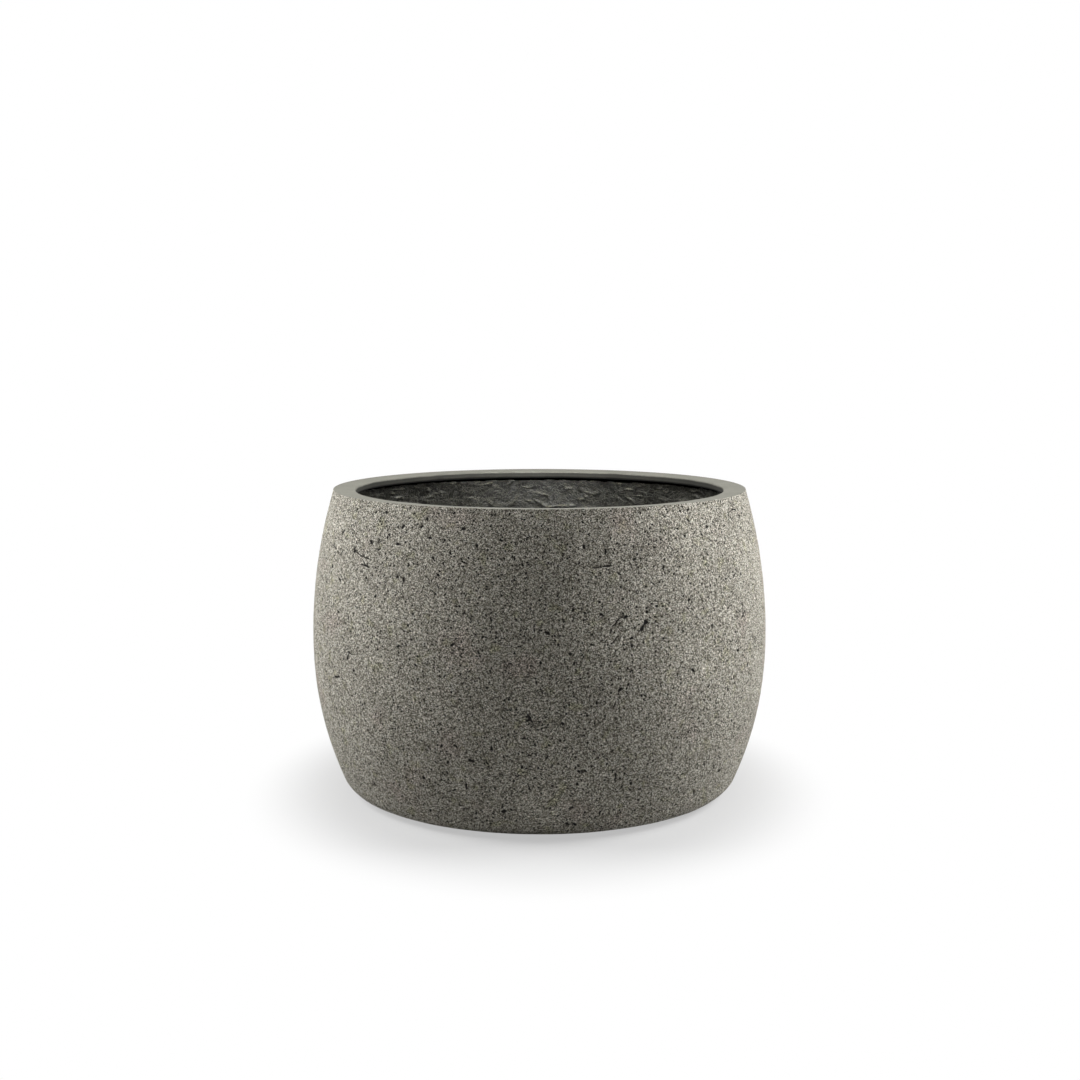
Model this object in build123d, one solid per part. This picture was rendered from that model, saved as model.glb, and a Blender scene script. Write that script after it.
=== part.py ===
from build123d import *

import math
import os

# A round fibreglass floor planter with a barrel wall, a flat turned-in rim and a
# stone-like face. The origin is on the floor at the middle of the planter, +Z up.
# All sizes are millimetres. Outlines are drawn as (radius, height) and revolved.

# Outer form
overall_height = 400.0
belly_diameter = 600.0
belly_height = 201.0
shoulder_inset = 29.5
lower_wall_radius = 458.0
corner_radius = 30.0

# Stone-filled face, and the glass laminate laid up inside it
face_thickness = 3.5
wall_laminate = 4.0
floor_laminate = 4.0
floor_cove_radius = 38.0

# Rim, cast over the laminate's top edge and mitred to the face
land_width = 29.0
lip_depth = 11.0
lip_lap = 5.0
land_edge_radius = 1.8
lip_edge_radius = 3.0

# Underside
foot_ring_width = 62.0
recess_depth = 3.0

# Floor pads, glued to the foot ring
pad_count = 4
pad_diameter = 38.0
pad_thickness = 3.0
pad_edge_chamfer = 0.8
pad_groove_depth = 0.7
pad_groove_width = 2.0
pad_groove_pitch = 6.0
pad_groove_count = 2
first_pad_angle = 45.0

# Drain hole and its rubber plug
drain_diameter = 25.0
drain_chamfer = 1.5
plug_fit = 0.3
seat_depth = 1.0
seat_margin = 2.0
flange_overlap = 8.5
flange_thickness = 3.5
flange_edge_radius = 1.2
stem_protrusion = 2.0
rib_count = 2
rib_height = 1.1
rib_taper = 1.6
first_rib_drop = 1.4
rib_pitch = 3.0
stem_wall = 4.0
stem_roof = 2.0
grip_length = 26.0
grip_thickness = 6.0
grip_height = 9.0
grip_edge_radius = 2.0

# Worked out from the sizes above
belly_radius = belly_diameter / 2
rim_radius = belly_radius - shoulder_inset
mouth_radius = rim_radius - land_width
rim_rise = overall_height - belly_height
upper_wall_radius = (rim_rise**2 + shoulder_inset**2) / (2 * shoulder_inset)
upper_centre = (belly_radius - upper_wall_radius, belly_height)
lower_centre = (belly_radius - lower_wall_radius, belly_height)
base_z = pad_thickness
recess_z = base_z + recess_depth
floor_z = recess_z + face_thickness + floor_laminate
lining_inset = face_thickness + wall_laminate
lip_underside_z = overall_height - lip_depth
laminate_top_z = lip_underside_z + lip_lap
mitre_z = overall_height - face_thickness
drain_radius = drain_diameter / 2
seat_z = floor_z - seat_depth
flange_radius = drain_radius + flange_overlap
seat_radius = flange_radius + seat_margin


def wall_angle(inset, z):
    """Angle in degrees on the upper wall arc, moved in by inset, at height z."""
    return math.degrees(math.asin((z - belly_height) / (upper_wall_radius - inset)))


def wall_point(inset, z):
    """Point of the upper wall arc, moved in by inset, at height z."""
    angle = math.radians(wall_angle(inset, z))
    radius = upper_wall_radius - inset
    return (upper_centre[0] + radius * math.cos(angle), z)


def upper_wall(inset, low_z, high_z):
    """Upper wall arc, moved in by inset, between two heights."""
    start = wall_angle(inset, low_z)
    sweep = wall_angle(inset, high_z) - start
    return CenterArc(upper_centre, upper_wall_radius - inset, start, sweep)


def lower_wall(inset, bottom_z, corner):
    """Lower wall arc, moved in by inset, and the corner arc that turns it to the flat at bottom_z.

    Returns the two arcs and the radius at which the flat begins.
    """
    reach = lower_wall_radius - inset - corner
    turn = math.asin((belly_height - bottom_z - corner) / reach)
    flat_radius = lower_centre[0] + reach * math.cos(turn)
    turn_degrees = math.degrees(turn)
    wall = CenterArc(lower_centre, lower_wall_radius - inset, -turn_degrees, turn_degrees)
    corner_arc = CenterArc((flat_radius, bottom_z + corner), corner, -90, 90 - turn_degrees)
    return wall, corner_arc, flat_radius


def foot_ring_radii():
    """Inner and outer radius of the flat ring under the planter, on which the pads sit."""
    outer = lower_wall(0, base_z, corner_radius)[2]
    return outer - foot_ring_width, outer


def recess_points(inset):
    """Points of the underside from the foot ring's inner edge, up the 45 degree ramp, to the recess.

    Moving the ramp in by inset carries its two ends out by inset times (root 2 - 1).
    """
    edge = foot_ring_radii()[0] + inset * (math.sqrt(2) - 1)
    ring_z = base_z + inset
    return (edge, ring_z), (edge - recess_depth, ring_z + recess_depth)


def turned(outline):
    """Solid turned about the Z axis from a closed outline of edges."""
    return revolve(Plane.XZ * make_face(outline), Axis.Z)


def side_view(inset, top_z):
    """Edges of the planter's outside, moved in by inset, from the top down to the recess."""
    wall, corner, flat_radius = lower_wall(inset, base_z + inset, corner_radius - inset)
    ring_edge, recess_edge = recess_points(inset)
    flat = Line((flat_radius, base_z + inset), ring_edge)
    ramp = Line(ring_edge, recess_edge)
    return [upper_wall(inset, belly_height, top_z), wall, corner, flat, ramp], recess_edge


def make_stone_face():
    """Stone-filled face: wall, corner, foot ring and recess in one even thickness, with the drain hole."""
    outside, outer_recess = side_view(0, overall_height)
    inside, inner_recess = side_view(face_thickness, mitre_z)
    mitre = Line((rim_radius, overall_height), wall_point(face_thickness, mitre_z))
    chamfer_foot = (drain_radius + drain_chamfer, outer_recess[1])
    chamfer_top = (drain_radius, outer_recess[1] + drain_chamfer)
    hole = Polyline(outer_recess, chamfer_foot, chamfer_top, (drain_radius, inner_recess[1]), inner_recess)
    return turned([*outside, hole, *inside, mitre])


def make_glass_lining():
    """Glass laminate laid up in the face, with a coved floor and a flat seat for the plug's flange."""
    outside, recess = side_view(face_thickness, laminate_top_z)
    wall, cove, floor_radius = lower_wall(lining_inset, floor_z, floor_cove_radius)
    inside = upper_wall(lining_inset, belly_height, laminate_top_z)
    top = Line(wall_point(face_thickness, laminate_top_z), wall_point(lining_inset, laminate_top_z))
    floor = Polyline(
        (floor_radius, floor_z),
        (seat_radius, floor_z),
        (seat_radius, seat_z),
        (drain_radius, seat_z),
        (drain_radius, recess[1]),
        recess,
    )
    return turned([*outside, floor, cove, wall, inside, top])


def make_rim():
    """Cast rim: a flat land from the face's edge to the mouth, a short lip, and a lap over the laminate."""
    land_inner = (mouth_radius, overall_height)
    under_inner = (mouth_radius, lip_underside_z)
    outline = [
        Line((rim_radius, overall_height), land_inner),
        Line(land_inner, under_inner),
        Line(under_inner, wall_point(lining_inset, lip_underside_z)),
        upper_wall(lining_inset, lip_underside_z, laminate_top_z),
        Line(wall_point(lining_inset, laminate_top_z), wall_point(face_thickness, laminate_top_z)),
        upper_wall(face_thickness, laminate_top_z, mitre_z),
        Line(wall_point(face_thickness, mitre_z), (rim_radius, overall_height)),
    ]
    section = make_face(outline)
    mouth_corners = section.vertices().group_by(Axis.X)[0].sort_by(Axis.Y)
    section = fillet(mouth_corners[0], lip_edge_radius)
    land_corner = section.vertices().sort_by_distance(land_inner)[0]
    section = fillet(land_corner, land_edge_radius)
    return revolve(Plane.XZ * section, Axis.Z)


def make_floor_pad(index):
    """Round rubber pad with two grip grooves, glued to the foot ring at its place in the circle."""
    inner, outer = foot_ring_radii()
    angle = math.radians(first_pad_angle + 360 / pad_count * index)
    circle = (inner + outer) / 2
    pad = Cylinder(pad_diameter / 2, pad_thickness, align=(Align.CENTER, Align.CENTER, Align.MIN))
    pad = chamfer(pad.edges().group_by(Axis.Z)[0], pad_edge_chamfer)
    for step in range(1, pad_groove_count + 1):
        middle = step * pad_groove_pitch
        ring = Circle(middle + pad_groove_width / 2) - Circle(middle - pad_groove_width / 2)
        pad -= extrude(ring, pad_groove_depth)
    return Pos(circle * math.cos(angle), circle * math.sin(angle), 0) * pad


def stem_outline():
    """Points down the plug's stem, with sealing ribs that taper towards the tip."""
    crest_radius = drain_radius - plug_fit
    root_radius = crest_radius - rib_height
    points = [(root_radius, seat_z)]
    for rib in range(rib_count):
        crest_z = seat_z - first_rib_drop - rib * rib_pitch
        points.append((root_radius, crest_z + rib_height))
        points.append((crest_radius, crest_z))
        points.append((root_radius, crest_z - rib_taper))
    points.append((root_radius, recess_z - stem_protrusion))
    return points


def make_drain_plug():
    """Rubber plug: a flange that seats on the floor, a ribbed hollow stem, and a bar to pull it by."""
    flange_top = seat_z + flange_thickness
    stem = stem_outline()
    tip_radius, tip_z = stem[-1]
    core_radius = tip_radius - stem_wall
    core_top = seat_z - stem_roof
    outline = Polyline(
        (0, flange_top),
        (flange_radius, flange_top),
        (flange_radius, seat_z),
        *stem,
        (core_radius, tip_z),
        (core_radius, core_top),
        (0, core_top),
        close=True,
    )
    plug = turned(outline)
    flange_rim = plug.edges().filter_by(GeomType.CIRCLE).group_by(Axis.Z)[-1]
    plug = fillet(flange_rim, flange_edge_radius)
    grip = Box(grip_length, grip_thickness, grip_height, align=(Align.CENTER, Align.CENTER, Align.MIN))
    grip = fillet(grip.edges().filter_by(Axis.Z), grip_edge_radius)
    grip = fillet(grip.edges().group_by(Axis.Z)[-1], grip_edge_radius)
    return plug + Pos(0, 0, flange_top) * grip


def main():
    os.makedirs("parts", exist_ok=True)
    pieces = {
        "stone_face": make_stone_face(),
        "glass_lining": make_glass_lining(),
        "rim": make_rim(),
        "drain_plug": make_drain_plug(),
    }
    for index in range(pad_count):
        pieces[f"floor_pad_{index + 1}"] = make_floor_pad(index)
    for name, piece in pieces.items():
        export_step(piece, f"parts/{name}.step")


main()
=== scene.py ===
import math

import bpy
import numpy as np
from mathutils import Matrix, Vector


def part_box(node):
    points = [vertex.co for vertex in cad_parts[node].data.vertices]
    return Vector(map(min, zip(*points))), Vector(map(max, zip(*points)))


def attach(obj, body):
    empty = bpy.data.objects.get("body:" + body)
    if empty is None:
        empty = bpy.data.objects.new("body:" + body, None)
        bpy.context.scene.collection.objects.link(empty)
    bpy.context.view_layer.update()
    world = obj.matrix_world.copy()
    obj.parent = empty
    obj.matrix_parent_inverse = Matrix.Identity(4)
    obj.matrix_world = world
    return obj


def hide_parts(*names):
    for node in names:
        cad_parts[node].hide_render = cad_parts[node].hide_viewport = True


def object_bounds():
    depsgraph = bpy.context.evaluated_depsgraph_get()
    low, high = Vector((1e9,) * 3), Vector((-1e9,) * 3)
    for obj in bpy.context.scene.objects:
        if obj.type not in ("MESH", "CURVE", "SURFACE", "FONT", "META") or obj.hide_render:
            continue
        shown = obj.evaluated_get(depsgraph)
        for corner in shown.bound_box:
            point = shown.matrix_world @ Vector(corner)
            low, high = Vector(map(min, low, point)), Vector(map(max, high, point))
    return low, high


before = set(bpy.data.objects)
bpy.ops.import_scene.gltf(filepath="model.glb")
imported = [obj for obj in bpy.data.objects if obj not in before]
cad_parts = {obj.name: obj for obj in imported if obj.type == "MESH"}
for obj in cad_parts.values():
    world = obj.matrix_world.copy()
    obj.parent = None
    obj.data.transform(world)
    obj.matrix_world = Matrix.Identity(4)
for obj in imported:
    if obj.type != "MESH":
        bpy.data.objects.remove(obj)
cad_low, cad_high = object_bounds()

# Lengths are metres, as in the frame. MM turns a size in millimetres into them.
MM = 0.001
FULL_TURN = 2 * math.pi

# The camera, worked out from the planter's outline in the photograph of 1080 by 1080 pixels
PHOTO_SIDE = 1080
SENSOR_WIDTH = 36.0
FOCAL_PIXELS = 1557.9
AXIS_PIXEL = 539.5
CAMERA_DISTANCE = 2.0527
CAMERA_HEIGHT = 0.6008
CAMERA_PITCH = math.radians(7.551)

# Sizes read from the frame
RIM_TOP = cad_high.z
BELLY_RADIUS = cad_high.x
RIM_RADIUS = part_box("rim")[1].x
LIP_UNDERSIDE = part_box("rim")[0].z
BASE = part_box("stone_face")[0].z
LAMINATE_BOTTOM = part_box("glass_lining")[0].z
LAMINATE_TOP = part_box("glass_lining")[1].z
FACE_THICKNESS = LAMINATE_BOTTOM - BASE

# Sizes of the outline that the frame's boxes don't hold, as in the part
BELLY_HEIGHT = 201 * MM
LOWER_WALL_RADIUS = 458 * MM
CORNER_RADIUS = 30 * MM
WALL_LAMINATE = 4 * MM
FLOOR_COVE_RADIUS = 38 * MM
FLOOR_HEIGHT = 13.5 * MM
LAND_WIDTH = 29 * MM
LAND_EDGE_RADIUS = 1.8 * MM
LIP_EDGE_RADIUS = 3 * MM
FOOT_RING_WIDTH = 62 * MM
RECESS_DEPTH = 3 * MM
DRAIN_RADIUS = 12.5 * MM
DRAIN_CHAMFER = 1.5 * MM
SEAT_RADIUS = 23 * MM
SEAT_DEPTH = 1 * MM

LINING_INSET = FACE_THICKNESS + WALL_LAMINATE
RIM_RISE = RIM_TOP - BELLY_HEIGHT
SHOULDER_INSET = BELLY_RADIUS - RIM_RADIUS
UPPER_WALL_RADIUS = (RIM_RISE**2 + SHOULDER_INSET**2) / (2 * SHOULDER_INSET)
UPPER_CENTRE = (BELLY_RADIUS - UPPER_WALL_RADIUS, BELLY_HEIGHT)
LOWER_CENTRE = (BELLY_RADIUS - LOWER_WALL_RADIUS, BELLY_HEIGHT)
MOUTH_RADIUS = RIM_RADIUS - LAND_WIDTH
MITRE_HEIGHT = RIM_TOP - FACE_THICKNESS
SEAT_HEIGHT = FLOOR_HEIGHT - SEAT_DEPTH

FINE_STEP = 0.5 * MM


def arc(centre, radius, start, stop):
    """Points along an arc from angle start to stop, a fine step apart: the centre plus the radius times
    (cosine, sine) of the angle."""
    count = max(3, math.ceil(radius * abs(stop - start) / FINE_STEP))
    angle = np.linspace(start, stop, count)
    return np.stack([centre[0] + radius * np.cos(angle), centre[1] + radius * np.sin(angle)], 1)


def line(*corners):
    """Points along straight runs between corners, a fine step apart."""
    runs = []
    for start, end in zip(corners, corners[1:]):
        count = max(2, math.ceil(math.dist(start, end) / FINE_STEP))
        runs.append(np.linspace(start, end, count))
    return np.concatenate(runs)


def upper_angle(inset, height):
    """Angle on the upper wall arc, moved in by inset, at a height."""
    return math.asin((height - BELLY_HEIGHT) / (UPPER_WALL_RADIUS - inset))


def upper_point(inset, height):
    """Point of the upper wall arc, moved in by inset, at a height."""
    radius = UPPER_WALL_RADIUS - inset
    return (UPPER_CENTRE[0] + radius * math.cos(upper_angle(inset, height)), height)


def wall_stretches(inset, top, bottom, corner):
    """The wall from the top down, moved in by inset: the upper arc, the lower arc, and the corner arc that
    turns it to the flat at the bottom and touches both. Returns the three and the radius at which the
    flat begins."""
    reach = LOWER_WALL_RADIUS - inset - corner
    turn = math.asin((BELLY_HEIGHT - bottom - corner) / reach)
    flat_radius = LOWER_CENTRE[0] + reach * math.cos(turn)
    upper = arc(UPPER_CENTRE, UPPER_WALL_RADIUS - inset, upper_angle(inset, top), 0)
    lower = arc(LOWER_CENTRE, LOWER_WALL_RADIUS - inset, 0, -turn)
    fillet = arc((flat_radius, bottom + corner), corner, -turn, -math.pi / 2)
    return [upper, lower, fillet], flat_radius


def underside_points(inset):
    """Ends of the 45 degree ramp from the foot ring up to the recess, moved in by inset."""
    outer = wall_stretches(0, RIM_TOP, BASE, CORNER_RADIUS)[1]
    edge = outer - FOOT_RING_WIDTH + inset * (math.sqrt(2) - 1)
    ring = BASE + inset
    return (edge, ring), (edge - RECESS_DEPTH, ring + RECESS_DEPTH)


class Section:
    """A closed outline that is turned round the Z axis. It runs clockwise in (radius, height), so that the
    outside is on its left. A place on it is its distance along the outline from the start. Each stretch
    comes with the spacing of its rows, and marks holds the places where the stretches start. A row that
    starts a stretch at a sharp corner is a crease in the shading."""

    SHARP = math.radians(25)

    def __init__(self, stretches):
        points = np.concatenate([p for p, _ in stretches])
        gap = np.hypot(*(points - np.roll(points, 1, 0)).T)
        keep = gap > FINE_STEP / 50
        keep[0], keep[-1] = True, gap[0] > FINE_STEP / 50
        starts = np.cumsum([0] + [len(p) for p, _ in stretches[:-1]])
        self.points = points[keep]
        closed = np.r_[self.points, self.points[:1]]
        run = np.diff(closed, axis=0)
        length = np.hypot(*run.T)
        self.place = np.r_[0, np.cumsum(length)]
        self.length = self.place[-1]
        direction = run / length[:, None]
        mean = direction + np.roll(direction, 1, 0)
        normal = np.stack([-mean[:, 1], mean[:, 0]], 1) / np.hypot(*mean.T)[:, None]
        self.normal = np.r_[normal, normal[:1]]
        self.closed = closed
        turn = np.arccos(np.clip((direction * np.roll(direction, 1, 0)).sum(1), -1, 1))
        index = np.cumsum(keep)[starts] - 1
        self.marks = self.place[index]
        rows = []
        self.sharp_rows = set()
        ends = np.r_[self.marks[1:], self.length]
        for mark, end, first, (_, spacing) in zip(self.marks, ends, index, stretches):
            if turn[first] > self.SHARP:
                self.sharp_rows.add(sum(len(r) for r in rows))
            count = max(1, round((end - mark) / spacing))
            rows.append(np.linspace(mark, end, count, endpoint=False))
        self.rows = np.concatenate(rows)

    def at(self, place):
        """Radius, height and the outward normal's two parts at places along the outline."""
        place = np.mod(place, self.length)
        return [np.interp(place, self.place, column) for column in (*self.closed.T, *self.normal.T)]


def turned_mesh(name, section, angle, place, relief, hollow=None):
    """Mesh of a section turned round the Z axis: the vertex of row i and column j is at the section's
    point for place[i, j], moved out along its normal by relief[i, j], and turned by angle[i, j]. Rows and
    columns both close on themselves. The material can read hollow, a number for each vertex."""
    radius, height, out_radius, out_height = section.at(place)
    radius = radius + relief * out_radius
    height = height + relief * out_height
    vertices = np.stack([radius * np.cos(angle), radius * np.sin(angle), height], -1).reshape(-1, 3)
    rows, columns = angle.shape
    i, j = np.meshgrid(np.arange(rows), np.arange(columns), indexing="ij")
    below, beside = (i + 1) % rows, (j + 1) % columns
    quads = np.stack([i, below, below, i], -1) * columns + np.stack([j, j, beside, beside], -1)
    mesh = bpy.data.meshes.new(name)
    mesh.from_pydata(vertices, [], quads.reshape(-1, 4))
    mesh.polygons.foreach_set("use_smooth", np.ones(len(mesh.polygons), bool))
    ends = np.empty(len(mesh.edges) * 2, np.int32)
    mesh.edges.foreach_get("vertices", ends)
    ends = ends.reshape(-1, 2) // columns
    sharp = (ends[:, 0] == ends[:, 1]) & np.isin(ends[:, 0], list(section.sharp_rows))
    mesh.attributes.new("sharp_edge", "BOOLEAN", "EDGE").data.foreach_set("value", sharp)
    if hollow is not None:
        values = hollow.ravel().astype(np.float32)
        mesh.attributes.new("hollow", "FLOAT", "POINT").data.foreach_set("value", values)
    mesh.validate()
    mesh.update()
    piece = bpy.data.objects.new(name, mesh)
    bpy.context.collection.objects.link(piece)
    return piece


def grid(section, columns):
    """Angle and place of every vertex of an even grid over a section."""
    return np.meshgrid(np.arange(columns) * FULL_TURN / columns, section.rows)


def smooth_noise(section, angle, place, size, seed):
    """Smooth random numbers from -1 to 1: a lattice of random numbers about size apart, closed round the
    turn and along the section, and joined by the curve of three t squared less two t cubed."""
    columns = max(3, round(FULL_TURN * BELLY_RADIUS / size))
    rows = max(3, round(section.length / size))
    lattice = np.random.default_rng(seed).uniform(-1, 1, (rows, columns))
    x = np.mod(angle, FULL_TURN) / FULL_TURN * columns
    y = np.mod(place, section.length) / section.length * rows
    i, j = np.floor(y).astype(int), np.floor(x).astype(int)
    u, v = x - j, y - i
    u, v = u * u * (3 - 2 * u), v * v * (3 - 2 * v)
    i, j, below, beside = i % rows, j % columns, (i + 1) % rows, (j + 1) % columns
    upper = lattice[i, j] * (1 - u) + lattice[i, beside] * u
    lower = lattice[below, j] * (1 - u) + lattice[below, beside] * u
    return upper * (1 - v) + lower * v


def fade(value, start, stop):
    """0 below start, 1 above stop, and between them three t squared less two t cubed."""
    t = np.clip((value - start) / (stop - start), 0, 1)
    return t * t * (3 - 2 * t)


def window(section, columns, mark, reach):
    """Rows and columns of the grid that lie within reach of a mark on the surface."""
    first, last = np.searchsorted(section.rows, (mark["place"] - reach, mark["place"] + reach))
    middle = round(mark["angle"] / FULL_TURN * columns)
    half = math.ceil(reach / section.at(mark["place"])[0] / FULL_TURN * columns) + 1
    return np.ix_(np.arange(first, last), np.arange(middle - half, middle + half + 1) % columns)


def offsets(section, mark, angle, place):
    """Distances around and along the surface from a mark, and the radius at the mark."""
    radius = section.at(mark["place"])[0]
    around = (np.mod(angle - mark["angle"] + math.pi, FULL_TURN) - math.pi) * radius
    return around, place - mark["place"], radius


# Camera

def make_camera():
    """The camera of the photograph, which looks along Y and a little down."""
    camera = bpy.data.objects.new("camera", bpy.data.cameras.new("camera"))
    camera.data.sensor_width = SENSOR_WIDTH
    camera.data.lens = FOCAL_PIXELS / PHOTO_SIDE * SENSOR_WIDTH
    camera.data.shift_x = (PHOTO_SIDE / 2 - AXIS_PIXEL) / PHOTO_SIDE
    camera.location = (0, -CAMERA_DISTANCE, CAMERA_HEIGHT)
    camera.rotation_euler = (math.pi / 2 - CAMERA_PITCH, 0, 0)
    bpy.context.collection.objects.link(camera)
    bpy.context.scene.camera = camera


# Stone-filled face

FACE_COLUMNS = 570
FACE_ROW = 2.95 * MM
FLAW_SEED = 31
SCATTERED_PITS = 1000
SCATTERED_CRACKS = 90
# Scattered flaws keep this far from the ends of the wall
FLAW_MARGIN = 14 * MM
# Vertices within this distance of a flaw's line are drawn in to it, the nearest by this share
DRAW_REACH = 7.5 * MM
DRAW_SHARE = 0.78
# How far round a flaw its distance is noted, and how wide the rounding of its edge is
NOTED_REACH = 5 * MM
EDGE_ROUNDING = 0.35 * MM

# The larger pits and cracks, read from the photograph in pixels. A pit is a point and its radius
# in millimetres, a crack is a run of points.
SEEN_PITS = [
    (354, 551, 2.6), (387, 537, 1.9), (379, 540, 1.4), (386, 512, 1.7), (376, 512, 1.5), (357, 509, 1.4),
    (335, 553, 1.4), (397, 577, 1.8), (372, 575, 1.3), (366, 578, 1.4), (427, 519, 1.5), (430, 538, 1.4),
    (450, 553, 1.5), (433, 558, 1.3), (438, 575, 1.6), (435, 594, 1.3), (375, 596, 1.4), (388, 591, 1.3),
    (338, 612, 1.5), (413, 614, 1.3), (350, 631, 1.6), (454, 513, 1.3), (626, 617, 1.9), (647, 612, 1.6),
    (601, 614, 1.4), (573, 610, 1.3), (665, 573, 1.4), (674, 574, 1.6), (658, 587, 1.3), (713, 522, 1.4),
    (688, 510, 1.4), (680, 511, 1.6), (726, 579, 1.5), (735, 575, 1.4), (685, 536, 1.3), (689, 600, 1.3),
    (744, 614, 2.0), (740, 516, 1.5),
]
SEEN_CRACKS = [
    [(593, 568), (601, 567), (608, 566), (612, 566)], [(614, 570), (617, 569)],
    [(622, 617), (617, 621), (615, 625), (613, 626)], [(618, 636), (614, 642), (611, 644)],
    [(644, 620), (648, 622), (642, 627), (643, 630), (638, 631)], [(636, 636), (634, 639), (632, 639)],
    [(355, 551), (361, 556), (369, 559)], [(651, 582), (655, 585)], [(361, 564), (368, 567)],
    [(729, 508), (733, 509), (736, 510)], [(733, 509), (730, 512), (728, 514)], [(737, 497), (741, 492)],
    [(437, 583), (438, 588)], [(333, 545), (336, 549)], [(742, 604), (744, 610)],
]


def face_section():
    """Outline of the face: the wall from the land's edge down, the corner, the foot ring, the recess and
    the drain hole, then back up inside, where it is hidden and has few rows."""
    outside, flat = wall_stretches(0, RIM_TOP, BASE, CORNER_RADIUS)
    inset = FACE_THICKNESS
    inside, inner_flat = wall_stretches(inset, MITRE_HEIGHT, BASE + inset, CORNER_RADIUS - inset)
    ring, recess = underside_points(0)
    inner_ring, inner_recess = underside_points(inset)
    hole = DRAIN_RADIUS
    hidden = [p[::-1] for p in inside[::-1]]
    return Section([
        *[(p, FACE_ROW) for p in outside],
        (line((flat, BASE), ring), 9 * MM),
        (line(ring, recess), 2 * MM),
        (line(recess, (hole + DRAIN_CHAMFER, recess[1])), 22 * MM),
        (line((hole + DRAIN_CHAMFER, recess[1]), (hole, recess[1] + DRAIN_CHAMFER)), 1 * MM),
        (line((hole, recess[1] + DRAIN_CHAMFER), (hole, inner_recess[1])), 2 * MM),
        (line((hole, inner_recess[1]), inner_recess, inner_ring, (inner_flat, BASE + inset)), 80 * MM),
        *[(p, 60 * MM) for p in hidden],
        (line(upper_point(inset, MITRE_HEIGHT), (RIM_RADIUS, RIM_TOP)), 5 * MM),
    ])


def wall_at_pixel(section, wall_end, x, y):
    """Angle and place where the camera's line through a pixel of the photograph first meets the wall: the
    first of many points along the line that lies inside the wall's radius at its height."""
    forward = np.array([0, math.cos(CAMERA_PITCH), -math.sin(CAMERA_PITCH)])
    up = np.array([0, math.sin(CAMERA_PITCH), math.cos(CAMERA_PITCH)])
    ray = forward * FOCAL_PIXELS + up * (PHOTO_SIDE / 2 - y) + np.array([x - AXIS_PIXEL, 0, 0])
    reach = np.linspace(CAMERA_DISTANCE - BELLY_RADIUS - 0.05, CAMERA_DISTANCE, 6000) / ray[1]
    points = np.array([0, -CAMERA_DISTANCE, CAMERA_HEIGHT]) + reach[:, None] * ray
    wall = section.place[:-1] < wall_end
    radii, heights, places = section.points[wall, 0], section.points[wall, 1], section.place[:-1][wall]
    inside = np.hypot(points[:, 0], points[:, 1]) < np.interp(-points[:, 2], -heights, radii)
    point = points[np.argmax(inside)]
    return math.atan2(point[1], point[0]) % FULL_TURN, np.interp(-point[2], -heights, places)


def flaw(angle, place, run, widths, depth):
    """A pit or a crack: a run of points round and down the wall from its middle, with the half-width at
    each. A pit has two points close together."""
    return dict(angle=angle, place=place, run=np.array(run), widths=np.array(widths), depth=depth)


def seen_flaws(section, wall_end):
    """The pits and cracks of the photograph. A pit is 0.8 of its radius in half-width, leans by up to 0.7
    of it and is 1.1 of it deep. A crack is 0.5 to 1.5 mm wide and 1.6 mm deep."""
    rng = np.random.default_rng(FLAW_SEED + 1)
    flaws = []
    for x, y, radius in SEEN_PITS:
        angle, place = wall_at_pixel(section, wall_end, x, y)
        slant = rng.uniform(-0.7, 0.7, 2) * radius * MM
        flaws.append(flaw(angle, place, [-slant, slant], [radius * 0.8 * MM] * 2, radius * 1.1 * MM))
    for pixels in SEEN_CRACKS:
        found = np.array([wall_at_pixel(section, wall_end, *pixel) for pixel in pixels])
        angle, place = found.mean(0)
        run = (found - (angle, place)) * (BELLY_RADIUS, 1)
        widths = rng.uniform(0.25, 0.75, len(run)) * MM
        flaws.append(flaw(angle, place, run, widths, 1.6 * MM))
    return flaws


def scattered_flaws(wall_end):
    """Blowholes left by the casting, small ones the commonest, and short crooked cracks where several ran
    together, all over the wall."""
    rng = np.random.default_rng(FLAW_SEED)
    flaws = []
    for _ in range(SCATTERED_PITS):
        radius = (0.65 + 1.1 * rng.random() ** 4) * MM
        slant = rng.uniform(-1, 1, 2) * radius
        flaws.append(flaw(
            rng.random() * FULL_TURN, rng.uniform(3 * MM, wall_end), [-slant, slant],
            rng.uniform(0.6, 1.1, 2) * radius, radius * rng.uniform(0.8, 1.3),
        ))
    for _ in range(SCATTERED_CRACKS):
        count = rng.integers(3, 7)
        heading = rng.uniform(0, FULL_TURN) + np.cumsum(rng.normal(0, 0.7, count))
        steps = rng.uniform(1.6, 4.2, count) * MM
        run = np.cumsum(np.stack([np.cos(heading), np.sin(heading)], 1) * steps[:, None], 0)
        widths = rng.uniform(0.3, 0.9, count) * MM
        widths[[0, -1]] *= 0.4
        flaws.append(flaw(
            rng.random() * FULL_TURN, rng.uniform(FLAW_MARGIN, wall_end - FLAW_MARGIN),
            run - run.mean(0), widths, rng.uniform(1.2, 2.0) * MM,
        ))
    return flaws


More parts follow.
